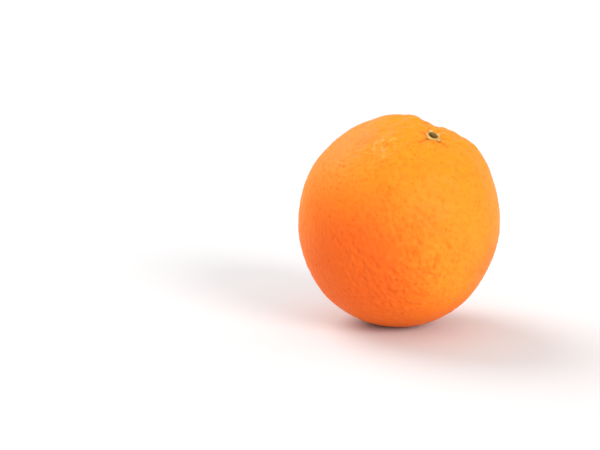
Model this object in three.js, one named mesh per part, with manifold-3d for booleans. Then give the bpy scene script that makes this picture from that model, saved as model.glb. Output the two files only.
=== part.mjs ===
// A whole navel orange, resting on a small flat spot with its stem end leaning up and to the front.
// Millimetres, +Z up. The origin is the middle of the flat spot. Seen along +Y, +X is to the right.
//
// The fruit is described from its own middle in stem polar terms: tilt is the angle down from the
// stem axis, azimuth the angle round it, and arc the way along the skin from the stem.

import * as THREE from 'three';
import { mergeVertices } from 'three/addons/utils/BufferGeometryUtils.js';
import Module from 'manifold-3d';

const wasm = await Module();
wasm.setup();

const DEG = Math.PI / 180;

// Driving dimensions, with every angle in degrees
const HALF_WIDTH = 42.7; // the fruit is 85 mm across
const HALF_LENGTH = 46.1; // and 92 mm along its longest line
const LONG_LINE = { tilt: 9, azimuth: 156 }; // which the stem stands a little off

const STEM_LEAN = 28.5; // the stem axis, down from upright
const LEAN_TOWARDS = -54.8; // measured round +Z from +X
const STEM_TURN = 42.4; // the fruit's own turn about its stem axis

const FLAT_DEPTH = 0.45; // how far the weight presses the skin flat: a spot about 12 mm across
const TOUCHING = 0.001; // within this of z = 0 a point is on the ground
const GAP = 0.3; // between neighbouring pieces

// The shallow basin that the stem end sinks into, and the close hollow under the calyx
const BASIN = { depth: 1.5, reach: 9 };
const SEAT = { depth: 0.35, reach: 4.6, steepness: 4 };

// The saddle: behind the stem the shoulder drops away between two azimuths
const SADDLE = {
  depth: 1.85,
  rise: { from: 49, to: 96 },
  fall: { from: 111, to: 125 },
  start: { from: 3, to: 16 },
  end: { from: 26, to: 50 },
};

// Ribs that run down from the stem and fade out on the shoulders, as three waves round the axis
const RIB_WAVES = [
  { count: 9, height: 0.13, turn: 0.6 },
  { count: 14, height: 0.11, turn: -1.1 },
  { count: 21, height: 0.12, turn: 2.0 },
];
const RIB_START = { from: 3, to: 12 };
const RIB_END = { from: 24, to: 42 };
const RIB_SIDE = { azimuth: 75, least: 0.3 }; // where they are strongest, and their share opposite

// Short furrows that run out from under the calyx, and long ones over the shoulder behind it. The
// run-out is the way over which a furrow's ends come back to the skin.
const SHORT = { halfWidth: 0.75, runOut: 1.6 };
const LONG = { halfWidth: 1.3, runOut: 4 };
const FURROWS = [
  { azimuth: 22, start: 4.2, end: 7.0, depth: 0.35, ...SHORT },
  { azimuth: 74, start: 3.6, end: 7.2, depth: 0.6, ...SHORT },
  { azimuth: 118, start: 4.0, end: 9.5, depth: 0.6, ...SHORT },
  { azimuth: 153, start: 4.4, end: 7.5, depth: 0.4, ...SHORT },
  { azimuth: 182, start: 3.6, end: 7.0, depth: 0.65, ...SHORT },
  { azimuth: 241, start: 4.6, end: 9.6, depth: 0.7, ...SHORT },
  { azimuth: 287, start: 4.4, end: 6.6, depth: 0.3, ...SHORT },
  { azimuth: 336, start: 4.4, end: 8.4, depth: 0.55, ...SHORT },
  { azimuth: 61, start: 13, end: 27, depth: 0.45, ...LONG },
  { azimuth: 77, start: 12, end: 25, depth: 0.4, ...LONG },
  { azimuth: 87, start: 12, end: 23, depth: 0.2, ...LONG },
  { azimuth: 114, start: 11, end: 21, depth: 0.35, ...LONG },
];

// Broad swellings and flat places that make the body a little uneven
const SWELLINGS = [
  { tilt: 38, azimuth: 47, height: 0.8, reach: 8 }, // right shoulder
  { tilt: 22, azimuth: 126, height: 0.4, reach: 4 }, // lip of the saddle
  { tilt: 37, azimuth: 138, height: 0.35, reach: 8 }, // crown of the left shoulder
  { tilt: 49, azimuth: 28, height: 0.4, reach: 7 }, // below the right shoulder
  { tilt: 61, azimuth: 23, height: -0.45, reach: 18 }, // flatter right side
  { tilt: 84, azimuth: 176, height: 0.5, reach: 16 }, // fuller left side
  { tilt: 120, azimuth: -24, height: 0.6, reach: 14 }, // fuller low on the right
  { tilt: 72, azimuth: -75, height: 0.25, reach: 15 }, // front cheek
  { tilt: 102, azimuth: 95, height: 0.35, reach: 17 }, // back cheek
  { tilt: 96, azimuth: 232, height: -0.35, reach: 14 }, // flatter left front
];

// The navel at the blossom end: a raised ring, a hollow inside it and a small second bud in that
const NAVEL = {
  tilt: 176,
  azimuth: 60,
  ring: { height: 0.7, reach: 11 },
  hollow: { depth: 3.4, reach: 4.4, steepness: 3 },
  bud: { height: 2.6, reach: 2.3, offset: 1.0 },
  creases: { count: 7, height: 0.3, from: 3, to: 12 },
};

// The calyx: a dry star with five sepals of their own reach and azimuth
const SEPALS = [
  { azimuth: 55, reach: 3.7 },
  { azimuth: 123, reach: 4.1 },
  { azimuth: 197, reach: 3.4 },
  { azimuth: 246, reach: 4.3 },
  { azimuth: 330, reach: 4.4 },
];
const SEPAL_HALF_WIDTH = 34;
const SEPAL_POINT = 1.25; // above 1 its sides are hollow
const CALYX_RADIUS = 2.5; // between the sepals
const CALYX_THICK = { middle: 0.9, rim: 0.45 };

// The stub: the cut end of the stem, a low button with four blunt corners and a sunken cut face
const STUB_RADIUS = 1.95;
const STUB_HEIGHT = 1.1;
const STUB_CORNERS = { count: 4, share: 0.07 }; // share of the radius by which a corner stands out
// Its half section from the middle of the cut face to its foot, as shares of radius and height
const STUB_SECTION = [
  { across: 0, up: 0.77 },
  { across: 0.45, up: 0.77 },
  { across: 0.78, up: 1 },
  { across: 0.92, up: 0.86 },
  { across: 1, up: 0.5 },
  { across: 0.95, up: 0.15 },
  { across: 0.88, up: 0 },
  { across: 0, up: 0 },
];

const SECTORS = 96;
const FRUIT_ROWS = 56;
const ROW_CROWDING = 0.62; // 0 spaces the rows evenly, more brings them closer at stem and navel
const SEPAL_SECTORS = 10; // from one sepal's tip to the next
const CALYX_RINGS = [0.35, 0.65, 0.87, 1];
const STUB_SECTORS = 28;

// Formulas for forms

function smoothStep({ from, to }, x) {
  return THREE.MathUtils.smoothstep(x, from, to);
}

// In radians, as are the angles of every formula below
function direction(tilt, azimuth) {
  const aside = Math.sin(tilt);
  return new THREE.Vector3(aside * Math.cos(azimuth), aside * Math.sin(azimuth), Math.cos(tilt));
}

function hump(arc, reach, steepness = 2) {
  return Math.exp(-((arc / reach) ** steepness));
}

// The smaller angle from one azimuth, in degrees as the tables give it, to another
function azimuthFrom(centre, azimuth) {
  const apart = azimuth - centre * DEG + Math.PI;
  return THREE.MathUtils.euclideanModulo(apart, 2 * Math.PI) - Math.PI;
}

const longLine = direction(LONG_LINE.tilt * DEG, LONG_LINE.azimuth * DEG);
const navelLine = direction(NAVEL.tilt * DEG, NAVEL.azimuth * DEG);
const budLine = direction(NAVEL.tilt * DEG - NAVEL.bud.offset / HALF_WIDTH, NAVEL.azimuth * DEG);
const swellings = SWELLINGS.map((s) => ({ ...s, line: direction(s.tilt * DEG, s.azimuth * DEG) }));

function bodyRadius(line) {
  const along = line.dot(longLine) ** 2;
  return 1 / Math.sqrt(along / HALF_LENGTH ** 2 + (1 - along) / HALF_WIDTH ** 2);
}

function saddleDepth(arc, azimuth) {
  const round = THREE.MathUtils.euclideanModulo(azimuth / DEG, 360);
  const across = smoothStep(SADDLE.rise, round) * (1 - smoothStep(SADDLE.fall, round));
  return SADDLE.depth * across * smoothStep(SADDLE.start, arc) * (1 - smoothStep(SADDLE.end, arc));
}

function ribHeight(arc, azimuth) {
  const facing = 0.5 + 0.5 * Math.cos(azimuthFrom(RIB_SIDE.azimuth, azimuth));
  const side = THREE.MathUtils.lerp(RIB_SIDE.least, 1, facing);
  const fade = side * smoothStep(RIB_START, arc) * (1 - smoothStep(RIB_END, arc));
  const waves = RIB_WAVES.map((wave) => wave.height * Math.cos(wave.count * azimuth + wave.turn));
  return fade * waves.reduce((sum, height) => sum + height, 0);
}

function furrowDepth(arc, azimuth) {
  let depth = 0;
  for (const furrow of FURROWS) {
    const turn = azimuthFrom(furrow.azimuth, azimuth);
    if (Math.abs(turn) > Math.PI / 2) continue;
    const aside = arc * Math.sin(turn);
    const starts = smoothStep({ from: furrow.start - furrow.runOut, to: furrow.start }, arc);
    const ends = smoothStep({ from: furrow.end - furrow.runOut, to: furrow.end + furrow.runOut }, arc);
    depth += furrow.depth * starts * (1 - ends) * hump(Math.abs(aside), furrow.halfWidth);
  }
  return depth;
}

function swellingHeight(line) {
  const heights = swellings.map((s) => s.height * hump(line.angleTo(s.line) * HALF_WIDTH, s.reach));
  return heights.reduce((sum, height) => sum + height, 0);
}

function navelHeight(line) {
  const arc = line.angleTo(navelLine) * HALF_WIDTH;
  const { ring, hollow, bud, creases } = NAVEL;
  const turn = Math.atan2(line.y - navelLine.y, line.x - navelLine.x);
  const crease = creases.height * Math.cos(creases.count * turn) * hump(arc, creases.to)
    * (1 - hump(arc, creases.from));
  return ring.height * hump(arc, ring.reach) - hollow.depth * hump(arc, hollow.reach, hollow.steepness)
    + bud.height * hump(line.angleTo(budLine) * HALF_WIDTH, bud.reach) + crease;
}

// How far the skin stands from the fruit's middle in one direction
function skinRadius(tilt, azimuth) {
  const line = direction(tilt, azimuth);
  const arc = tilt * HALF_WIDTH;
  return bodyRadius(line)
    - BASIN.depth * hump(arc, BASIN.reach)
    - SEAT.depth * hump(arc, SEAT.reach, SEAT.steepness)
    - saddleDepth(arc, azimuth)
    + ribHeight(arc, azimuth)
    - furrowDepth(arc, azimuth)
    + swellingHeight(line)
    + navelHeight(line);
}

// A closed skin from a first point, rings of points and a last point, facing out when the rings run
// down from +Z with their points counter-clockwise
function closedRings(first, rings, last) {
  const points = [first, ...rings.flat(), last];
  const count = rings[0].length;
  const triangles = [];
  const at = (ring, i) => 1 + ring * count + (i % count);
  for (let i = 0; i < count; i += 1) {
    triangles.push(0, at(0, i), at(0, i + 1));
    for (let ring = 0; ring + 1 < rings.length; ring += 1) {
      triangles.push(at(ring, i), at(ring + 1, i), at(ring + 1, i + 1));
      triangles.push(at(ring, i), at(ring + 1, i + 1), at(ring, i + 1));
    }
    triangles.push(points.length - 1, at(rings.length - 1, i + 1), at(rings.length - 1, i));
  }
  const geometry = new THREE.BufferGeometry().setFromPoints(points);
  geometry.setIndex(triangles);
  geometry.computeVertexNormals();
  return geometry;
}

function azimuths(count) {
  return Array.from({ length: count }, (_, i) => (2 * Math.PI * i) / count);
}

// Boolean cuts

function toSolid(geometry) {
  const bare = geometry.clone();
  bare.deleteAttribute('normal');
  bare.deleteAttribute('uv');
  const merged = mergeVertices(bare);
  return new wasm.Manifold(new wasm.Mesh({
    numProp: 3,
    vertProperties: new Float32Array(merged.attributes.position.array),
    triVerts: new Uint32Array(merged.index.array),
  }));
}

function toGeometry(solid) {
  const mesh = solid.getMesh();
  const geometry = new THREE.BufferGeometry();
  geometry.setAttribute('position', new THREE.BufferAttribute(mesh.vertProperties, 3));
  geometry.setIndex(new THREE.BufferAttribute(mesh.triVerts, 1));
  geometry.computeVertexNormals();
  return geometry;
}

// Sub-parts

const leaning = new THREE.Matrix4().makeRotationZ(LEAN_TOWARDS * DEG)
  .multiply(new THREE.Matrix4().makeRotationY(STEM_LEAN * DEG))
  .multiply(new THREE.Matrix4().makeRotationZ(STEM_TURN * DEG));

// The whole fruit in one skin, leaning, with its middle at the origin and not yet pressed flat
function roundFruit() {
  const rings = [];
  for (let row = 1; row < FRUIT_ROWS; row += 1) {
    const share = row / FRUIT_ROWS;
    const tilt = Math.PI * share - (ROW_CROWDING / 2) * Math.sin(2 * Math.PI * share);
    rings.push(azimuths(SECTORS).map(
      (azimuth) => direction(tilt, azimuth).multiplyScalar(skinRadius(tilt, azimuth)),
    ));
  }
  const stemEnd = direction(0, 0).multiplyScalar(skinRadius(0, 0));
  const blossomEnd = direction(Math.PI, 0).multiplyScalar(skinRadius(Math.PI, 0));
  return closedRings(stemEnd, rings, blossomEnd).applyMatrix4(leaning);
}

// The middle of the flat spot under a skin that stands on z = 0
function flatSpot(geometry) {
  const spot = new THREE.Box3();
  const places = geometry.attributes.position;
  for (let i = 0; i < places.count; i += 1) {
    const place = new THREE.Vector3().fromBufferAttribute(places, i);
    if (Math.abs(place.z) < TOUCHING) spot.expandByPoint(place);
  }
  return spot.getCenter(new THREE.Vector3());
}

// Lowers the fruit into the ground by the depth of its flat spot and cuts it off there
function pressFlat(round, height) {
  const ground = new THREE.BoxGeometry(4 * HALF_WIDTH, 4 * HALF_WIDTH, HALF_WIDTH);
  ground.translate(0, 0, -HALF_WIDTH / 2);
  const standing = round.clone().translate(0, 0, height);
  return toGeometry(toSolid(standing).subtract(toSolid(ground)));
}

function sepalReach(azimuth) {
  const reaches = SEPALS.map((sepal) => {
    const aside = Math.abs(azimuthFrom(sepal.azimuth, azimuth)) / (SEPAL_HALF_WIDTH * DEG);
    return CALYX_RADIUS + (sepal.reach - CALYX_RADIUS) * Math.max(0, 1 - aside) ** SEPAL_POINT;
  });
  return Math.max(...reaches);
}

// Even steps from each sepal's tip to the next, so that every tip is a corner of the star
function starAzimuths() {
  return SEPALS.flatMap((sepal, i) => {
    const next = SEPALS[(i + 1) % SEPALS.length];
    const apart = THREE.MathUtils.euclideanModulo(next.azimuth - sepal.azimuth, 360) / SEPAL_SECTORS;
    return Array.from({ length: SEPAL_SECTORS }, (_, step) => (sepal.azimuth + step * apart) * DEG);
  });
}

function calyxThickness(share) {
  return THREE.MathUtils.lerp(CALYX_THICK.middle, CALYX_THICK.rim, share ** 2);
}

// A star that follows the skin under it, in the same polar terms
function calyxStar() {
  const point = (share, azimuth, height) => {
    const tilt = (share * sepalReach(azimuth)) / HALF_WIDTH;
    return direction(tilt, azimuth).multiplyScalar(skinRadius(tilt, azimuth) + height);
  };
  const ring = (share, height) => starAzimuths().map((azimuth) => point(share, azimuth, height));
  const top = CALYX_RINGS.map((share) => ring(share, GAP + calyxThickness(share)));
  const bottom = CALYX_RINGS.map((share) => ring(share, GAP)).reverse();
  return closedRings(
    point(0, 0, GAP + CALYX_THICK.middle), [...top, ...bottom], point(0, 0, GAP),
  );
}

function stubButton() {
  const place = ({ across, up }, azimuth) => {
    const corner = 1 + STUB_CORNERS.share * Math.cos(STUB_CORNERS.count * azimuth);
    const radius = across * STUB_RADIUS * corner;
    return new THREE.Vector3(radius * Math.cos(azimuth), radius * Math.sin(azimuth), up * STUB_HEIGHT);
  };
  const ring = (step) => azimuths(STUB_SECTORS).map((azimuth) => place(step, azimuth));
  const rings = STUB_SECTION.slice(1, -1).map(ring);
  return closedRings(place(STUB_SECTION[0], 0), rings, place(STUB_SECTION.at(-1), 0));
}

const rindFinish = new THREE.MeshStandardMaterial({ color: '#f98d1f', roughness: 0.42, metalness: 0 });
const calyxFinish = new THREE.MeshStandardMaterial({ color: '#d9b878', roughness: 0.85, metalness: 0 });
const stubFinish = new THREE.MeshStandardMaterial({ color: '#6b4d17', roughness: 0.9, metalness: 0 });

function named(name, geometry, material) {
  const mesh = new THREE.Mesh(geometry, material);
  mesh.name = name;
  return mesh;
}

const round = roundFruit();
round.computeBoundingBox();
const height = -round.boundingBox.min.z - FLAT_DEPTH; // of the fruit's middle
const fruit = named('fruit', pressFlat(round, height), rindFinish);
fruit.position.copy(flatSpot(fruit.geometry)).negate();

const stemEnd = new THREE.Group(); // +Z is the stem axis here, from the fruit's middle
leaning.decompose(stemEnd.position, stemEnd.quaternion, stemEnd.scale);
stemEnd.position.copy(fruit.position).setZ(height);

const calyx = named('calyx', calyxStar(), calyxFinish);
const stub = named('stem_stub', stubButton(), stubFinish);
stub.position.z = skinRadius(0, 0) + GAP + CALYX_THICK.middle + GAP;
stemEnd.add(calyx, stub);

const orange = new THREE.Group();
orange.add(fruit, stemEnd);

export default orange;
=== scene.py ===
"""The looks of a whole navel orange: its pitted waxy rind, the dry calyx and the cut stem.

Everything is in metres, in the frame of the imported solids: +Z is up and the origin is the middle of
the flat spot that the fruit rests on. Sizes written with MM are in millimetres.
"""

import logging
import math
from abc import ABC, abstractmethod
from collections.abc import Callable
from dataclasses import dataclass
from enum import Enum
from functools import partial

import bpy
from mathutils import Euler, Matrix, Vector


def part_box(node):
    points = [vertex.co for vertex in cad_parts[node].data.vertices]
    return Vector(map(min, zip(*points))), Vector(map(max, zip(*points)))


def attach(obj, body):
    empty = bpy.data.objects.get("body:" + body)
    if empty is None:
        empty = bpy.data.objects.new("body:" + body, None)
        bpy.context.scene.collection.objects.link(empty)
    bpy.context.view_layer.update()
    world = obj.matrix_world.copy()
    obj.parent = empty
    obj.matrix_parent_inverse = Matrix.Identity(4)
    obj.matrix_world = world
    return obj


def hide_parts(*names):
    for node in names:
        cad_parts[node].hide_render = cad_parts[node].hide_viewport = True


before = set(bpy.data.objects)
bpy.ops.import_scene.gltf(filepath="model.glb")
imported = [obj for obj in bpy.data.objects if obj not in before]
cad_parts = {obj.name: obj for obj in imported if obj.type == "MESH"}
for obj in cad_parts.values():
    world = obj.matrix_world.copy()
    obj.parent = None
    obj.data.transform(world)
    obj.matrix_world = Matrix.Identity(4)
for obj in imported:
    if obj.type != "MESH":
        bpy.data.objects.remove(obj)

Tree = bpy.types.NodeTree
Socket = bpy.types.NodeSocket
Span = tuple[float, float]
Triple = tuple[float, float, float]

MM = 0.001
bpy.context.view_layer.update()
LOG = logging.getLogger("orange")

# A texture that runs out in rays goes this far round the stem axis, and once on over this length
RAYS = 4.0
RAY_LENGTH = 4 * MM
# The values that a noise mostly keeps between
NOISE_LOW, NOISE_HIGH = 0.3, 0.7
# Places of sockets that share their names with others on the node
MIX_SHARE, MIX_BELOW, MIX_ABOVE, MIXED = 0, 6, 7, 2
RANDOM_LEAST, RANDOM_MOST, RANDOM = 2, 3, 1


class Body(Enum):
    """The one body that every piece rides on."""

    ROOT = "root"


class Slot(Enum):
    """The record's material slots."""

    RIND = "rind"
    CALYX = "dry_calyx"
    STEM = "cut_stem"


class Solid(Enum):
    """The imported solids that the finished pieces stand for."""

    FRUIT = "fruit"
    CALYX = "calyx"
    STUB = "stem_stub"


class Mark(Enum):
    """Names of the values that the rind's mesh carries for its material."""

    PIT = "pit"
    # These two steer painted shade in the wrinkles' low places and along each furrow.
    DIP_SHADE = "dip"
    HOLLOW_SHADE = "hollow"


def linear(hex_colour: str) -> tuple[float, float, float, float]:
    """Turns an sRGB hex colour into the linear colour that the shaders take.

    Args:
        hex_colour: six hex digits after a hash.

    Returns:
        Linear red, green and blue, and an alpha of 1.
    """
    parts = (int(hex_colour[i : i + 2], 16) / 255 for i in (1, 3, 5))
    red, green, blue = (p / 12.92 if p <= 0.04045 else ((p + 0.055) / 1.055) ** 2.4 for p in parts)
    return red, green, blue, 1.0


def add_node(
    tree: Tree,
    kind: str,
    inputs: dict[str | int, object] | None = None,
    output: str | int = 0,
    **settings: object,
) -> Socket | None:
    """Adds a node with its settings, and sets or links its inputs.

    Args:
        tree: the shader or geometry tree it goes into.
        kind: the node's type name.
        inputs: a value or an output socket for each input, by its name or its place.
        output: the output wanted, by its name or its place.
        settings: the node's own properties.

    Returns:
        That output, or nothing for a node without outputs.
    """
    node = tree.nodes.new(kind)
    for name, value in settings.items():
        setattr(node, name, value)
    for name, value in (inputs or {}).items():
        if isinstance(value, Socket):
            tree.links.new(value, node.inputs[name])
        else:
            node.inputs[name].default_value = value
    return node.outputs[output] if node.outputs else None


def polar(tree: Tree, local: Socket) -> tuple[Socket, Socket, Socket]:
    """Adds nodes that tell how far a place is from the stem axis and in which direction.

    Args:
        tree: a shader or geometry tree.
        local: the place in the stem's frame.

    Returns:
        The distance from the axis, the direction away from it, and a vector for textures that run
        out in rays: it turns with the direction and changes only slowly along a ray.
    """
    add = partial(add_node, tree)
    flat = add("ShaderNodeVectorMath", {0: local, 1: (1.0, 1.0, 0.0)}, operation="MULTIPLY")
    away = add("ShaderNodeVectorMath", {0: flat}, "Value", operation="LENGTH")
    facing = add("ShaderNodeVectorMath", {0: flat}, operation="NORMALIZE")
    spread = add("ShaderNodeVectorMath", {0: facing, "Scale": RAYS}, operation="SCALE")
    outward = add("ShaderNodeMath", {0: away, 1: RAY_LENGTH}, operation="DIVIDE")
    lift = add("ShaderNodeCombineXYZ", {"Z": outward})
    return away, facing, add("ShaderNodeVectorMath", {0: spread, 1: lift}, operation="ADD")


@dataclass(frozen=True)
class Tint:
    """A colour laid over another: it comes in from start to full, up to its largest share."""

    colour: str
    start: float
    full: float
    most: float = 1.0


def layered(tree: Tree, base: str, layers: tuple[tuple[Socket, Tint], ...]) -> Socket:
    """Adds nodes that lay tints over a base colour, one after the other.

    Args:
        tree: the shader tree.
        base: the base colour, in sRGB hex.
        layers: for each tint the value that steers it, and the tint.

    Returns:
        The socket with the mixed colour.
    """
    colour = linear(base)
    for value, tint in layers:
        share = add_node(
            tree,
            "ShaderNodeMapRange",
            {"Value": value, "From Min": tint.start, "From Max": tint.full, "To Max": tint.most},
            interpolation_type="SMOOTHSTEP",
        )
        inputs = {MIX_SHARE: share, MIX_BELOW: colour, MIX_ABOVE: linear(tint.colour)}
        colour = add_node(tree, "ShaderNodeMix", inputs, MIXED, data_type="RGBA")
    return colour


def select_only(piece: bpy.types.Object) -> None:
    """Deselects everything and makes one piece the selected and active one.

    Args:
        piece: the piece to work on.
    """
    bpy.ops.object.select_all(action="DESELECT")
    piece.select_set(True)
    bpy.context.view_layer.objects.active = piece


def in_edit_mode(piece: bpy.types.Object, *steps: Callable[[], object]) -> None:
    """Runs edit-mode operators on the whole of one piece.

    Args:
        piece: the mesh to edit.
        steps: what is done to it, in order.
    """
    select_only(piece)
    bpy.ops.object.mode_set(mode="EDIT")
    bpy.ops.mesh.select_all(action="SELECT")
    for step in steps:
        step()
    bpy.ops.object.mode_set(mode="OBJECT")


def apply_modifier(piece: bpy.types.Object, kind: str, **settings: object) -> None:
    """Adds a modifier to a piece and applies it.

    Args:
        piece: the piece to change.
        kind: the modifier's type.
        settings: the modifier's properties.
    """
    select_only(piece)
    modifier = piece.modifiers.new(kind.title(), kind)
    for name, value in settings.items():
        setattr(modifier, name, value)
    bpy.ops.object.modifier_apply(modifier=modifier.name)


def woven_copy(solid: Solid, name: str, levels: int) -> bpy.types.Object:
    """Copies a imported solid, joins its loose triangles into one skin and rounds it off finely.

    Args:
        solid: the solid to copy.
        name: the new piece's name.
        levels: how often its faces are split and smoothed.

    Returns:
        The copy, at the origin as the solid is.
    """
    copy = bpy.data.objects.new(name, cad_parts[solid.value].data.copy())
    copy.data.name = name
    copy.data.materials.clear()
    bpy.context.collection.objects.link(copy)
    in_edit_mode(
        copy,
        lambda: bpy.ops.mesh.remove_doubles(threshold=0.002 * MM),
        lambda: bpy.ops.mesh.tris_convert_to_quads(),
    )
    apply_modifier(copy, "SUBSURF", levels=levels, render_levels=levels)
    return copy


@dataclass(frozen=True)
class StemFrame:
    """The stem's own frame: +Z runs out of the stem end from the middle of the fruit."""

    lean: float = 28.5
    towards: float = -54.8
    turn: float = 42.4
    stub_from_middle: float = 46.21 * MM

    @property
    def turned(self) -> Matrix:
        """The turn from the stem's frame to the fruit's place on the table.

        Returns:
            It, as a three by three matrix.
        """
        parts = ((self.towards, "Z"), (self.lean, "Y"), (self.turn, "Z"))
        towards, lean, turn = (Matrix.Rotation(math.radians(angle), 3, axis) for angle, axis in parts)
        return towards @ lean @ turn

    @property
    def axis(self) -> Vector:
        """The direction in which the stem end points."""
        return self.turned @ Vector((0, 0, 1))

    @property
    def middle(self) -> Vector:
        """The middle of the fruit, on the stem axis."""
        low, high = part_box(Solid.STUB.value)
        return (Vector(low) + Vector(high)) / 2 - self.axis * self.stub_from_middle

    def local(self, tree: Tree, place: Socket) -> Socket:
        """Adds nodes that turn a place on the table into one in the stem's frame, in metres.

        Args:
            tree: a shader or geometry tree.
            place: the place, as a vector.

        Returns:
            The socket with the place in the stem's frame.
        """
        add = partial(add_node, tree)
        from_middle = add("ShaderNodeVectorMath", {0: place, 1: self.middle}, operation="SUBTRACT")
        return add(
            "ShaderNodeVectorRotate",
            {"Vector": from_middle, "Rotation": self.turned.to_euler()},
            rotation_type="EULER_XYZ",
            invert=True,
        )


@dataclass
class Piece(ABC):
    """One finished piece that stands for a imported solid."""

    stem: StemFrame

    name = ""
    material_name = ""
    solid = Solid.FRUIT
    slot = Slot.RIND

    def build(self) -> bpy.types.Object:
        """Shapes the piece, carves its relief, dresses it, hangs it on the root body and hides the solid
        it stands for.

        Returns:
            The finished piece.
        """
        piece = self.shape()
        apply_modifier(piece, "NODES", node_group=self._relief_tree())
        select_only(piece)
        bpy.ops.object.shade_smooth()
        material = bpy.data.materials.new(self.material_name)
        material.use_nodes = True
        material.node_tree.nodes.clear()
        self.dress(material.node_tree)
        piece.data.materials.append(material)
        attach(piece, Body.ROOT.value)
        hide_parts(self.solid.value)
        LOG.info("%s: %d faces", piece.name, len(piece.data.polygons))
        return piece

    def _relief_tree(self) -> Tree:
        """Makes the geometry tree that carves the piece.

        Returns:
            The tree, with one geometry in and one out.
        """
        tree = bpy.data.node_groups.new(f"{self.name}_relief", "GeometryNodeTree")
        for way in ("INPUT", "OUTPUT"):
            tree.interface.new_socket("Geometry", in_out=way, socket_type="NodeSocketGeometry")
        skin = add_node(tree, "NodeGroupInput")
        add_node(tree, "NodeGroupOutput", {"Geometry": self.carve(tree, skin)})
        return tree

    @abstractmethod
    def shape(self) -> bpy.types.Object:
        """Makes the plain form."""

    @abstractmethod
    def carve(self, tree: Tree, skin: Socket) -> Socket:
        """Adds the nodes that move the skin.

        Args:
            tree: the geometry tree.
            skin: the plain form.

        Returns:
            The socket with the carved form.
        """

    @abstractmethod
    def dress(self, tree: Tree) -> None:
        """Adds the material's nodes.

        Args:
            tree: the material's empty tree.
        """


@dataclass(frozen=True)
class WaxyRind:
    """Orange peel: a thin waxy skin over pith, grown, full of sunken oil glands.

    The wax gives a faint broad sheen, a little uneven from place to place. Light that enters the
    skin comes out again a little further on, red furthest, so the colour glows and the shading in
    the pits stays warm. The colour runs from the blossom end over the cheek to the stem end. On one
    side a redder, darker patch is painted shadow, tinted like orange light bounced from a nearby
    fruit, and beside it a yellower patch is painted light. Pale specks high on the fruit are painted
    sheen. Redder patches, streaks and mottles keep it from looking painted, and the pits are deeper
    in colour than the skin round them; the wrinkles' low places and each furrow are darkened as
    painted shade.
    Each bump is given by its height and its strength.
    """

    blossom_end: str = "#f77418"
    cheek: Tint = Tint("#f98821", -38 * MM, 6 * MM)
    stem_end: Tint = Tint("#fa891b", 26 * MM, 44 * MM)
    # Painted light: a yellower patch standing in for light falling more strongly on this side.
    painted_light: Tint = Tint("#fb982a", 27 * MM, 4 * MM, 0.65)
    # Painted shadow: a redder, darker patch standing in for a nearby fruit's shadow and its orange
    # bounce light.
    painted_shadow: Tint = Tint("#ee6921", 55 * MM, 22 * MM)
    patches: Tint = Tint("#ea5f1a", 0.5, 0.8, 0.35)
    streaks: Tint = Tint("#ea5f1a", 0.5, 0.85, 0.25)
    mottles: Tint = Tint("#ea5f1a", 0.45, 0.8, 0.35)
    # Painted highlight: pale specks standing in for the wax's sheen high on the fruit.
    painted_sheen: Tint = Tint("#ffc07c", 0.4, 0.6, 0.25)
    # Painted shade in the low places of the wrinkles.
    dips: Tint = Tint("#ea5f1a", 0.0, 1.0, 0.5)
    pits: Tint = Tint("#d4500a", 0.0, 1.0, 0.45)
    # Painted shade along each furrow, where the skin lies lower than round it.
    furrows: Tint = Tint("#dc5516", 0.1, 1.0, 0.5)

    patch_size: float = 30 * MM
    streak_size: Triple = (3 * MM, 3 * MM, 24 * MM)
    mottle_size: float = 2.2 * MM
    # Size of the painted sheen specks.
    sheen_fleck_size: float = 1.8 * MM
    wax_size: float = 7 * MM
    gland_size: float = 0.85 * MM
    gland_softness: float = 0.35
    grain_size: float = 0.28 * MM

    gland_bump: Span = (0.07 * MM, 0.6)
    grain_bump: Span = (0.02 * MM, 0.5)
    roughness: Span = (0.40, 0.54)
    ior: float = 1.45
    shine: float = 0.09
    glow: float = 0.2
    glow_reach: float = 2.0 * MM
    glow_colours: Triple = (1.0, 0.35, 0.1)


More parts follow.
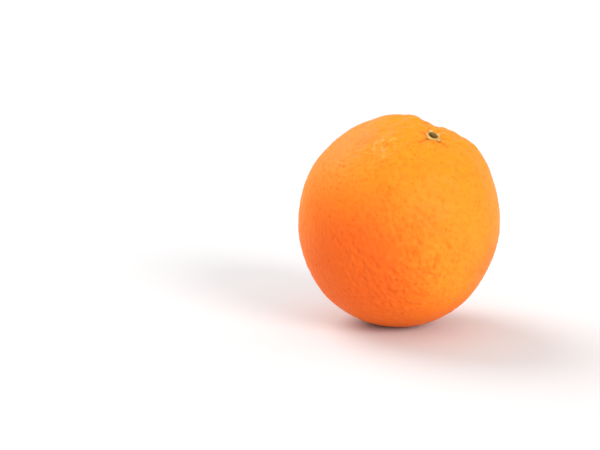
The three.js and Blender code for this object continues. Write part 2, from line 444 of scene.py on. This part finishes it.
@dataclass
class Rind(Piece):
    """The whole fruit's skin, with the pits over its oil glands.

    Places are in the stem's frame. The wrinkles are long along a line that leans from upright.
    """

    finish: WaxyRind = WaxyRind()
    cuts: int = 127
    ball: float = 40 * MM
    smoothing: int = 2
    # Middle and wavering edge of the painted shadow.
    painted_shadow_at: Triple = (-11.5 * MM, -41.0 * MM, -5.9 * MM)
    painted_shadow_waver: float = 20 * MM
    # Middle of the painted light.
    painted_light_at: Triple = (27.4 * MM, -30.7 * MM, 8.8 * MM)
    # Middle, reach and fading of the painted sheen specks.
    painted_sheen_at: Triple = (-16.4 * MM, -11.5 * MM, 37.0 * MM)
    painted_sheen_reach: float = 16 * MM
    painted_sheen_loss: float = 0.3
    gland_seed: int = 4
    gland_density: float = 9.0e5
    gland_apart: float = 1.7 * MM
    pit_reach: Span = (0.65 * MM, 1.15 * MM)
    pit_depth: Span = (0.05 * MM, 0.3 * MM)
    wrinkle_size: Triple = (1.4 * MM, 1.4 * MM, 2.7 * MM)
    wrinkle_lean: float = 22.0
    wrinkle_height: Span = (1.45 * MM, 0.33 * MM)
    wrinkled_at: Triple = (8.0 * MM, -42.0 * MM, 9.0 * MM)
    wrinkle_fade: Span = (9 * MM, 36 * MM)
    # Where the wrinkle noise counts as low, for the painted shade there.
    dip_shade_span: Span = (0.55, 0.3)
    rib_seed: float = 0.0
    rib_scale: float = 0.9
    rib_height: float = 0.9 * MM
    rib_fade: Span = (25 * MM, 38 * MM)
    rib_start: Span = (4 * MM, 9 * MM)
    swell_size: float = 19 * MM
    swell_height: float = 0.4 * MM
    foot_fade: Span = (0.15 * MM, 3 * MM)
    # How each furrow is found, for the painted shade in it.
    furrow_blur: int = 14
    furrow_depth: float = 0.16 * MM

    name = "orange_rind"
    material_name = "waxy_orange_peel"

    def shape(self) -> bpy.types.Object:
        """Blows an evenly woven ball up until it meets the smoothed solid.

        Returns:
            The skin without its pits.
        """
        bpy.ops.object.select_all(action="DESELECT")
        bpy.ops.mesh.primitive_cube_add(size=self.ball, location=self.stem.middle)
        skin = bpy.context.object
        skin.name = skin.data.name = self.name
        in_edit_mode(skin, lambda: bpy.ops.mesh.subdivide(number_cuts=self.cuts))
        apply_modifier(skin, "CAST", factor=1.0, radius=self.ball, size=0.0, use_radius_as_size=True)
        bpy.ops.object.transform_apply(location=True, rotation=True, scale=True)
        mould = woven_copy(self.solid, "mould", 2)
        apply_modifier(
            skin,
            "SHRINKWRAP",
            target=mould,
            wrap_method="PROJECT",
            use_positive_direction=True,
            use_negative_direction=True,
        )
        apply_modifier(skin, "SMOOTH", factor=0.5, iterations=self.smoothing)
        bpy.data.objects.remove(mould)
        return skin

    def carve(self, tree: Tree, skin: Socket) -> Socket:
        """Sinks the pits, raises wrinkles, ribs and swells, and marks the pits, and the low places for
        painted shade.

        Args:
            tree: the geometry tree.
            skin: the smooth skin.

        Returns:
            The socket with the carved skin.
        """
        add = partial(add_node, tree)
        place = add("GeometryNodeInputPosition")
        normal = add("GeometryNodeInputNormal")
        local = self.stem.local(tree, place)
        pit, height = self._pits(tree, skin, place)
        wrinkles, wrinkle_height = self._wrinkles(tree, place, local)
        swells = add(
            "ShaderNodeTexNoise", {"Vector": local, "Scale": 1 / self.swell_size, "Detail": 0.0}
        )
        reliefs = (
            (wrinkles, wrinkle_height),
            self._ribs(tree, local),
            (swells, self.swell_height),
        )
        for noise, rise in reliefs:
            centred = add("ShaderNodeMapRange", {"Value": noise, "To Min": -1.0, "To Max": 1.0})
            height = add("ShaderNodeMath", {0: centred, 1: rise, 2: height}, operation="MULTIPLY_ADD")
        above = add("ShaderNodeSeparateXYZ", {0: place}, "Z")
        pressed, free = self.foot_fade
        fade = add(
            "ShaderNodeMapRange",
            {"Value": above, "From Min": pressed, "From Max": free},
            interpolation_type="SMOOTHSTEP",
        )
        height = add("ShaderNodeMath", {0: height, 1: fade}, operation="MULTIPLY")
        move = add("ShaderNodeVectorMath", {0: normal, "Scale": height}, operation="SCALE")

        # The low places of the wrinkles, marked for painted shade.
        shallow, deep = self.dip_shade_span
        low = add("ShaderNodeMapRange", {"Value": wrinkles, "From Min": shallow, "From Max": deep})
        sunk = add("ShaderNodeMath", {0: low, 1: wrinkle_height}, operation="MULTIPLY")
        dip = add("ShaderNodeMath", {0: sunk, 1: self.wrinkle_height[0]}, operation="DIVIDE")
        # The pits mark the glands; the other two marks steer painted shade.
        marks = {Mark.PIT: pit, Mark.DIP_SHADE: dip, Mark.HOLLOW_SHADE: self._furrow_shade_mask(tree, place, normal)}
        for mark, value in marks.items():
            skin = add(
                "GeometryNodeStoreNamedAttribute",
                {"Geometry": skin, "Name": mark.value, "Value": value},
                data_type="FLOAT",
                domain="POINT",
            )
        return add("GeometryNodeSetPosition", {"Geometry": skin, "Offset": move})

    def _pits(self, tree: Tree, skin: Socket, place: Socket) -> tuple[Socket, Socket]:
        """Scatters glands over the skin, each with its own width and depth.

        Args:
            tree: the geometry tree.
            skin: the smooth skin.
            place: the place of a point on it.

        Returns:
            How far a point is in a pit, from 0 to 1, and its height, below 0, in metres.
        """
        add = partial(add_node, tree)
        glands = add(
            "GeometryNodeDistributePointsOnFaces",
            {
                "Mesh": skin,
                "Distance Min": self.gland_apart,
                "Density Max": self.gland_density,
                "Seed": self.gland_seed,
            },
            distribute_method="POISSON",
        )
        sizes = {"reach": self.pit_reach, "depth": self.pit_depth}
        for seed, (name, (least, most)) in enumerate(sizes.items()):
            inputs = {RANDOM_LEAST: least, RANDOM_MOST: most, "Seed": seed}
            glands = add(
                "GeometryNodeStoreNamedAttribute",
                {
                    "Geometry": glands,
                    "Name": name,
                    "Value": add("FunctionNodeRandomValue", inputs, RANDOM),
                },
                data_type="FLOAT",
                domain="POINT",
            )
        nearest = add("GeometryNodeSampleNearest", {"Geometry": glands}, domain="POINT")
        reach, depth = (
            add(
                "GeometryNodeSampleIndex",
                {
                    "Geometry": glands,
                    "Index": nearest,
                    "Value": add("GeometryNodeInputNamedAttribute", {"Name": name}, data_type="FLOAT"),
                },
                data_type="FLOAT",
                domain="POINT",
            )
            for name in sizes
        )
        gland = add(
            "GeometryNodeSampleIndex",
            {"Geometry": glands, "Index": nearest, "Value": place},
            data_type="FLOAT_VECTOR",
            domain="POINT",
        )
        apart = add("ShaderNodeVectorMath", {0: place, 1: gland}, "Value", operation="DISTANCE")
        share = add("ShaderNodeMath", {0: apart, 1: reach}, operation="DIVIDE")
        bowl = add(
            "ShaderNodeMapRange",
            {"Value": share, "To Min": 1.0, "To Max": 0.0},
            interpolation_type="SMOOTHSTEP",
        )
        sunk = add("ShaderNodeMath", {0: bowl, 1: depth}, operation="MULTIPLY")
        pit = add("ShaderNodeMath", {0: sunk, 1: self.pit_depth[1]}, operation="DIVIDE")
        return pit, add("ShaderNodeMath", {0: sunk, 1: -1.0}, operation="MULTIPLY")

    def _wrinkles(self, tree: Tree, place: Socket, local: Socket) -> tuple[Socket, Socket]:
        """Draws short leaning wrinkles, high in one place and fading away from it.

        Args:
            tree: the geometry tree.
            place: the place of a point on the skin.
            local: the same in the stem's frame.

        Returns:
            The noise, from 0 to 1, and the height that half of it stands for, in metres.
        """
        add = partial(add_node, tree)
        leaning = add(
            "ShaderNodeVectorRotate",
            {"Vector": place, "Angle": math.radians(self.wrinkle_lean)},
            rotation_type="Y_AXIS",
        )
        per_wrinkle = Vector(1 / size for size in self.wrinkle_size)
        stretched = add("ShaderNodeVectorMath", {0: leaning, 1: per_wrinkle}, operation="MULTIPLY")
        noise = add("ShaderNodeTexNoise", {"Vector": stretched, "Scale": 1.0, "Detail": 2.0})
        apart = add(
            "ShaderNodeVectorMath", {0: local, 1: self.wrinkled_at}, "Value", operation="DISTANCE"
        )
        near, far = self.wrinkle_fade
        most, least = self.wrinkle_height
        height = add(
            "ShaderNodeMapRange",
            {"Value": apart, "From Min": near, "From Max": far, "To Min": most, "To Max": least},
            interpolation_type="SMOOTHSTEP",
        )
        return noise, height

    def _ribs(self, tree: Tree, local: Socket) -> tuple[Socket, Socket]:
        """Draws low ribs that run down from the stem and fade out over the shoulders.

        Args:
            tree: the geometry tree.
            local: the place of a point on the skin, in the stem's frame.

        Returns:
            The noise, from 0 to 1, and the height that half of it stands for, in metres.
        """
        add = partial(add_node, tree)
        away, _, ray = polar(tree, local)
        noise = add(
            "ShaderNodeTexNoise",
            {"Vector": ray, "W": self.rib_seed, "Scale": self.rib_scale, "Detail": 0.0},
            noise_dimensions="4D",
        )
        up = add("ShaderNodeSeparateXYZ", {0: local}, "Z")
        spans = ((up, self.rib_fade, self.rib_height), (away, self.rib_start, 1.0))
        shoulder, outside = (
            add(
                "ShaderNodeMapRange",
                {"Value": value, "From Min": start, "From Max": end, "To Max": most},
                interpolation_type="SMOOTHSTEP",
            )
            for value, (start, end), most in spans
        )
        return noise, add("ShaderNodeMath", {0: shoulder, 1: outside}, operation="MULTIPLY")

    def _furrow_shade_mask(self, tree: Tree, place: Socket, normal: Socket) -> Socket:
        """Finds where the skin lies lower than the skin round it, to darken each furrow as painted
        shade.

        Args:
            tree: the geometry tree.
            place: the place of a point on the skin.
            normal: the skin's direction there.

        Returns:
            How deep in a furrow a point is, from 0 to 1.
        """
        add = partial(add_node, tree)
        around = add(
            "GeometryNodeBlurAttribute",
            {"Value": place, "Iterations": self.furrow_blur},
            data_type="FLOAT_VECTOR",
        )
        lower = add("ShaderNodeVectorMath", {0: around, 1: place}, operation="SUBTRACT")
        depth = add("ShaderNodeVectorMath", {0: lower, 1: normal}, "Value", operation="DOT_PRODUCT")
        return add(
            "ShaderNodeMapRange",
            {"Value": depth, "From Max": self.furrow_depth},
            interpolation_type="SMOOTHSTEP",
        )

    def dress(self, tree: Tree) -> None:
        """Colours the peel from blossom end to stem end, and gives it its glands, grain and wax.

        Args:
            tree: the material's empty tree.
        """
        look = self.finish
        add = partial(add_node, tree)
        local = self.stem.local(tree, add("ShaderNodeTexCoord", output="Object"))
        glands = add(
            "ShaderNodeTexVoronoi",
            {"Vector": local, "Scale": 1 / look.gland_size, "Smoothness": look.gland_softness},
            feature="SMOOTH_F1",
        )
        grain = add("ShaderNodeTexNoise", {"Vector": local, "Scale": 1 / look.grain_size, "Detail": 1.0})
        height, strength = look.gland_bump
        pitted = add("ShaderNodeBump", {"Height": glands, "Distance": height, "Strength": strength})
        height, strength = look.grain_bump
        grained = add(
            "ShaderNodeBump",
            {"Height": grain, "Distance": height, "Strength": strength, "Normal": pitted},
        )
        wax = add("ShaderNodeTexNoise", {"Vector": local, "Scale": 1 / look.wax_size, "Detail": 2.0})
        smoothest, roughest = look.roughness
        rough = add("ShaderNodeMapRange", {"Value": wax, "To Min": smoothest, "To Max": roughest})
        shader = add(
            "ShaderNodeBsdfPrincipled",
            {
                "Base Color": self._colour(tree, local),
                "Roughness": rough,
                "IOR": look.ior,
                "Specular IOR Level": look.shine,
                "Subsurface Weight": look.glow,
                "Subsurface Radius": look.glow_colours,
                "Subsurface Scale": look.glow_reach,
                "Normal": grained,
            },
        )
        add("ShaderNodeOutputMaterial", {"Surface": shader})

    def _colour(self, tree: Tree, local: Socket) -> Socket:
        """Mixes the peel's colour from its zones, its patches and streaks, its pits, a painted shadow, a
        painted patch of light, painted sheen specks and painted shade in its low places.

        Args:
            tree: the material's tree.
            local: the place in the stem's frame.

        Returns:
            The socket with the colour.
        """
        look = self.finish
        add = partial(add_node, tree)
        along = add("ShaderNodeSeparateXYZ", {0: local}, "Z")
        per_streak = Vector(1 / size for size in look.streak_size)
        streaked = add("ShaderNodeVectorMath", {0: local, 1: per_streak}, operation="MULTIPLY")
        textures = (
            (local, 1 / look.patch_size, 1.5),
            (streaked, 1.0, 2.0),
            (local, 1 / look.mottle_size, 2.0),
            (local, 1 / look.sheen_fleck_size, 3.0),
        )
        patches, streaks, mottles, sheen_flecks = (
            add("ShaderNodeTexNoise", {"Vector": place, "Scale": scale, "Detail": detail})
            for place, scale, detail in textures
        )
        # Distances to the middles of the painted shadow, the painted light and the painted sheen.
        from_painted_shadow, from_painted_light, from_painted_sheen = (
            add("ShaderNodeVectorMath", {0: local, 1: middle}, "Value", operation="DISTANCE")
            for middle in (self.painted_shadow_at, self.painted_light_at, self.painted_sheen_at)
        )
        # The painted shadow's edge wavers with the patches.
        painted_shadow = add(
            "ShaderNodeMath", {0: patches, 1: self.painted_shadow_waver, 2: from_painted_shadow}, operation="MULTIPLY_ADD"
        )
        # The painted sheen specks thin out away from their middle.
        loss = -self.painted_sheen_loss / self.painted_sheen_reach
        painted_sheen = add("ShaderNodeMath", {0: from_painted_sheen, 1: loss, 2: sheen_flecks}, operation="MULTIPLY_ADD")
        pit, dip, hollow = (
            add("ShaderNodeAttribute", output="Fac", attribute_name=mark.value) for mark in Mark
        )
        # The painted shadow, painted light, painted sheen and painted shade are laid in among the peel's
        # own colours.
        layers = (
            (along, look.cheek),
            (along, look.stem_end),
            (from_painted_light, look.painted_light),
            (painted_shadow, look.painted_shadow),
            (patches, look.patches),
            (streaks, look.streaks),
            (mottles, look.mottles),
            (painted_sheen, look.painted_sheen),
            (dip, look.dips),
            (pit, look.pits),
            (hollow, look.furrows),
        )
        return layered(tree, look.blossom_end, layers)


@dataclass(frozen=True)
class DrySepal:
    """Dried sepal: cream papery tissue, brown at its tips and where its fibres show.

    It is dull all over, and its raised fibres catch the light as fine rays.
    """

    flesh: str = "#cda55a"
    fibres: Tint = Tint("#96703a", 0.45, 0.7, 0.75)
    tips: Tint = Tint("#7d431a", 4.2 * MM, 5.0 * MM, 0.85)
    heart: Tint = Tint("#5e4719", 3.2 * MM, 2.4 * MM, 0.8)
    fibre_scale: float = 1.6
    blotch_size: float = 1.6 * MM
    blotch_waver: float = 1.6 * MM
    fibre_bump: Span = (0.06 * MM, 0.8)
    roughness: float = 0.85
    ior: float = 1.45
    shine: float = 0.3


@dataclass
class Calyx(Piece):
    """The dry star under the stem, its sepals curled up a little at their tips.

    The curl goes from the least in front to the most behind.
    """

    finish: DrySepal = DrySepal()
    sink: float = 0.34 * MM
    curl: Span = (0.2 * MM, 1.2 * MM)
    curl_from: Span = (2.0 * MM, 4.4 * MM)
    fibre_height: float = 0.11 * MM

    name = "dry_calyx"
    material_name = "dry_cream_sepals"
    solid = Solid.CALYX
    slot = Slot.CALYX

    def shape(self) -> bpy.types.Object:
        """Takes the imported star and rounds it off."""
        return woven_copy(self.solid, self.name, 3)

    def carve(self, tree: Tree, skin: Socket) -> Socket:
        """Sets the star down on the skin, curls its tips up and raises its fibres.

        Args:
            tree: the geometry tree.
            skin: the rounded star.

        Returns:
            The socket with the carved star.
        """
        add = partial(add_node, tree)
        local = self.stem.local(tree, add("GeometryNodeInputPosition"))
        away, facing, ray = polar(tree, local)
        noise = add("ShaderNodeTexNoise", {"Vector": ray, "Scale": 1.0, "Detail": 2.0})
        fibres = add(
            "ShaderNodeMapRange",
            {
                "Value": noise,
                "From Min": NOISE_LOW,
                "From Max": NOISE_HIGH,
                "To Min": -self.fibre_height,
                "To Max": self.fibre_height,
            },
        )
        behind = add("ShaderNodeSeparateXYZ", {0: facing}, "Y")
        least, most = self.curl
        tip_height = add(
            "ShaderNodeMapRange",
            {"Value": behind, "From Min": -1.0, "From Max": 1.0, "To Min": least, "To Max": most},
        )
        flat, tip = self.curl_from
        curl = add(
            "ShaderNodeMapRange",
            {"Value": away, "From Min": flat, "From Max": tip, "To Max": tip_height},
            interpolation_type="SMOOTHSTEP",
        )
        raised = add("ShaderNodeMath", {0: fibres, 1: curl}, operation="ADD")
        height = add("ShaderNodeMath", {0: raised, 1: self.sink}, operation="SUBTRACT")
        move = add("ShaderNodeVectorMath", {0: self.stem.axis, "Scale": height}, operation="SCALE")
        return add("GeometryNodeSetPosition", {"Geometry": skin, "Offset": move})

    def dress(self, tree: Tree) -> None:
        """Colours the sepals cream with brown tips, and draws their fibres.

        Args:
            tree: the material's empty tree.
        """
        look = self.finish
        add = partial(add_node, tree)
        local = self.stem.local(tree, add("ShaderNodeTexCoord", output="Object"))
        away, _, ray = polar(tree, local)
        fibres = add("ShaderNodeTexNoise", {"Vector": ray, "Scale": look.fibre_scale, "Detail": 3.0})
        blotches = add(
            "ShaderNodeTexNoise", {"Vector": local, "Scale": 1 / look.blotch_size, "Detail": 2.0}
        )
        uneven = add(
            "ShaderNodeMath", {0: blotches, 1: look.blotch_waver, 2: away}, operation="MULTIPLY_ADD"
        )
        layers = ((fibres, look.fibres), (uneven, look.tips), (uneven, look.heart))
        height, strength = look.fibre_bump
        bump = add("ShaderNodeBump", {"Height": fibres, "Distance": height, "Strength": strength})
        shader = add(
            "ShaderNodeBsdfPrincipled",
            {
                "Base Color": layered(tree, look.flesh, layers),
                "Roughness": look.roughness,
                "IOR": look.ior,
                "Specular IOR Level": look.shine,
                "Normal": bump,
            },
        )
        add("ShaderNodeOutputMaterial", {"Surface": shader})


@dataclass(frozen=True)
class CutWood:
    """Weathered end grain: olive brown, paler on the cut, dark in its ring and cracks.

    It is dull, and its rays and specks break up the cut face. The cut is told by the height below
    the top, and the ring by the distance from the middle.
    """

    bark: str = "#46300a"
    cut: Tint = Tint("#8a6c36", -0.75 * MM, -0.2 * MM, 0.9)
    ring: Tint = Tint("#5e4214", 0.9 * MM, 1.5 * MM, 0.6)
    rays: Tint = Tint("#46300a", 0.45, 0.7, 0.7)
    specks: Tint = Tint("#46300a", 0.5, 0.75, 0.4)
    ray_scale: float = 1.5
    speck_size: float = 0.5 * MM
    ray_bump: Span = (0.08 * MM, 0.8)
    roughness: float = 0.9
    ior: float = 1.5
    shine: float = 0.3


@dataclass
class StemStub(Piece):
    """The cut end of the stem, a low weathered button, narrower at its top and slanting."""

    finish: CutWood = CutWood()
    sink: float = 0.72 * MM
    foot: float = 45.66 * MM
    height: float = 1.1 * MM
    narrowing: float = 0.2
    top_shift: Triple = (-0.1 * MM, -0.45 * MM, -0.1 * MM)
    bark_scale: float = 0.55
    bark_rise: float = 0.22 * MM
    bark_from: Span = (0.9 * MM, 1.7 * MM)
    crack_scale: float = 0.9
    crack_span: Span = (0.55, 0.75)
    crack_depth: float = 0.28 * MM
    lump_size: float = 1.3 * MM
    lump_height: float = 0.2 * MM

    name = "stem_stub_wood"
    material_name = "weathered_end_grain"
    solid = Solid.STUB
    slot = Slot.STEM

    def shape(self) -> bpy.types.Object:
        """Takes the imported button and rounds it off."""
        return woven_copy(self.solid, self.name, 3)

    def carve(self, tree: Tree, skin: Socket) -> Socket:
        """Sets the button down in the star, slants it, and breaks up its bark and cut face.

        Args:
            tree: the geometry tree.
            skin: the rounded button.

        Returns:
            The socket with the carved button.
        """
        add = partial(add_node, tree)
        local = self.stem.local(tree, add("GeometryNodeInputPosition"))
        away, facing, ray = polar(tree, local)
        up = add("ShaderNodeSeparateXYZ", {0: local}, "Z")
        raised = add(
            "ShaderNodeMapRange",
            {"Value": up, "From Min": self.foot, "From Max": self.foot + self.height},
        )
        textures = (
            ({"Vector": ray, "Scale": self.bark_scale, "Detail": 3.0}, self.bark_rise),
            ({"Vector": local, "Scale": 1 / self.lump_size, "Detail": 2.0}, self.lump_height),
        )
        bark, lumps = (
            add(
                "ShaderNodeMapRange",
                {
                    "Value": add("ShaderNodeTexNoise", inputs),
                    "From Min": NOISE_LOW,
                    "From Max": NOISE_HIGH,
                    "To Min": -rise,
                    "To Max": rise,
                },
            )
            for inputs, rise in textures
        )
        core, edge = self.bark_from
        outer = add(
            "ShaderNodeMapRange",
            {"Value": away, "From Min": core, "From Max": edge},
            interpolation_type="SMOOTHSTEP",
        )
        narrowed = add("ShaderNodeMath", {0: raised, 1: -self.narrowing}, operation="MULTIPLY")
        inward = add("ShaderNodeMath", {0: narrowed, 1: away}, operation="MULTIPLY")
        aside = add("ShaderNodeMath", {0: bark, 1: outer, 2: inward}, operation="MULTIPLY_ADD")
        sideways = add("ShaderNodeVectorMath", {0: facing, "Scale": aside}, operation="SCALE")
        leaning = add("ShaderNodeVectorMath", {0: self.top_shift, "Scale": raised}, operation="SCALE")

        noise = add("ShaderNodeTexNoise", {"Vector": ray, "Scale": self.crack_scale, "Detail": 1.0})
        whole, cracked = self.crack_span
        cracks = add(
            "ShaderNodeMapRange",
            {"Value": noise, "From Min": whole, "From Max": cracked, "To Max": -self.crack_depth},
            interpolation_type="SMOOTHSTEP",
        )
        broken = add("ShaderNodeMath", {0: cracks, 1: lumps}, operation="ADD")
        drop = add("ShaderNodeMath", {0: broken, 1: raised, 2: -self.sink}, operation="MULTIPLY_ADD")
        upright = add("ShaderNodeCombineXYZ", {"Z": drop})
        across = add("ShaderNodeVectorMath", {0: sideways, 1: leaning}, operation="ADD")
        in_stem_frame = add("ShaderNodeVectorMath", {0: across, 1: upright}, operation="ADD")
        move = add(
            "ShaderNodeVectorRotate",
            {"Vector": in_stem_frame, "Rotation": self.stem.turned.to_euler()},
            rotation_type="EULER_XYZ",
        )
        return add("GeometryNodeSetPosition", {"Geometry": skin, "Offset": move})

    def dress(self, tree: Tree) -> None:
        """Colours the bark dark and the cut face paler, with a dark ring, rays and specks.

        Args:
            tree: the material's empty tree.
        """
        look = self.finish
        add = partial(add_node, tree)
        local = self.stem.local(tree, add("ShaderNodeTexCoord", output="Object"))
        away, _, ray = polar(tree, local)
        up = add("ShaderNodeSeparateXYZ", {0: local}, "Z")
        top = self.foot - self.sink + self.height
        from_top = add("ShaderNodeMath", {0: up, 1: top}, operation="SUBTRACT")
        rays = add("ShaderNodeTexNoise", {"Vector": ray, "Scale": look.ray_scale, "Detail": 4.0})
        specks = add(
            "ShaderNodeTexNoise", {"Vector": local, "Scale": 1 / look.speck_size, "Detail": 2.0}
        )
        layers = ((from_top, look.cut), (away, look.ring), (rays, look.rays), (specks, look.specks))
        height, strength = look.ray_bump
        bump = add("ShaderNodeBump", {"Height": rays, "Distance": height, "Strength": strength})
        shader = add(
            "ShaderNodeBsdfPrincipled",
            {
                "Base Color": layered(tree, look.bark, layers),
                "Roughness": look.roughness,
                "IOR": look.ior,
                "Specular IOR Level": look.shine,
                "Normal": bump,
            },
        )
        add("ShaderNodeOutputMaterial", {"Surface": shader})


@dataclass(frozen=True)
class MattPaper:
    """Matt studio paper: pale and even, with hardly a sheen, so that shadows lie soft on it."""

    colour: str = "#d6d5d5"
    roughness: float = 0.9
    shine: float = 0.1


@dataclass(frozen=True)
class SoftLight:
    """A very large, far soft white light, with its direction and spread in degrees."""

    name: str
    azimuth: float
    elevation: float
    strength: float
    spread: float


@dataclass
class Studio:
    """The pale floor, the soft lights and the camera."""

    stem: StemFrame
    lights: tuple[SoftLight, ...] = (
        SoftLight("front", -51.0, 25.0, 2.35, 30.0),
        SoftLight("back", 138.0, 43.0, 1.95, 42.0),
    )
    sky: float = 0.86
    paper: MattPaper = MattPaper()
    floor_reach: float = 6.0
    floor_corners: int = 96
    photo_width: int = 600
    photo_height: int = 450
    fruit_in_photo: Span = (398.8, 221.4)
    photo_scale: float = 0.4263 * MM
    lens: float = 85.0
    sensor: float = 36.0
    elevation: float = 12.0

    def build(self) -> None:
        """Makes the floor, the lights, the sky and the camera."""
        self._floor()
        for light in self.lights:
            self._hang(light)
        self._world()
        self._camera()

    def _floor(self) -> None:
        """Lays a wide round paper floor."""
        bpy.ops.object.select_all(action="DESELECT")
        bpy.ops.mesh.primitive_circle_add(
            vertices=self.floor_corners, radius=self.floor_reach, fill_type="NGON"
        )
        floor = bpy.context.object
        floor.name = floor.data.name = "pale_floor"
        material = bpy.data.materials.new("matt_paper")
        material.use_nodes = True
        shader = material.node_tree.nodes["Principled BSDF"]
        shader.inputs["Base Color"].default_value = linear(self.paper.colour)
        shader.inputs["Roughness"].default_value = self.paper.roughness
        shader.inputs["Specular IOR Level"].default_value = self.paper.shine
        floor.data.materials.append(material)

    def _hang(self, light: SoftLight) -> None:
        """Hangs one soft light, facing the fruit.

        Args:
            light: where it hangs and how strong it is.
        """
        source = bpy.data.lights.new(light.name, "SUN")
        source.energy = light.strength
        source.angle = math.radians(light.spread)
        lamp = bpy.data.objects.new(light.name, source)
        turn = Euler((math.radians(90 - light.elevation), 0, math.radians(light.azimuth + 90)))
        lamp.rotation_euler = turn
        lamp.location = turn.to_matrix() @ Vector((0, 0, 1))
        bpy.context.collection.objects.link(lamp)

    def _world(self) -> None:
        """Surrounds everything with an even white sky."""
        world = bpy.data.worlds.new("white_sky")
        world.use_nodes = True
        sky = world.node_tree.nodes["Background"]
        sky.inputs["Color"].default_value = linear("#ffffff")
        sky.inputs["Strength"].default_value = self.sky
        bpy.context.scene.world = world

    def _camera(self) -> None:
        """Places the camera so that the fruit lands where the photo has it, at the photo's angle."""
        depth = self.photo_scale * self.lens / self.sensor * self.photo_width
        aside = (self.fruit_in_photo[0] - self.photo_width / 2) * self.photo_scale
        above = (self.photo_height / 2 - self.fruit_in_photo[1]) * self.photo_scale
        turned = Euler((math.radians(90 - self.elevation), 0, 0)).to_matrix()
        camera = bpy.data.objects.new("camera", bpy.data.cameras.new("camera"))
        camera.data.lens = self.lens
        camera.data.sensor_width = self.sensor
        camera.rotation_euler = turned.to_euler()
        camera.location = self.stem.middle - turned @ Vector((aside, above, -depth))
        bpy.context.collection.objects.link(camera)
        bpy.context.scene.camera = camera
        bpy.context.scene.view_settings.view_transform = "Standard"


def main() -> None:
    """Builds every piece in order."""
    logging.basicConfig(level=logging.INFO, format="%(name)s: %(message)s")
    stem = StemFrame()
    Studio(stem).build()
    for piece in (Rind, Calyx, StemStub):
        piece(stem).build()


if __name__ == "__main__":
    main()
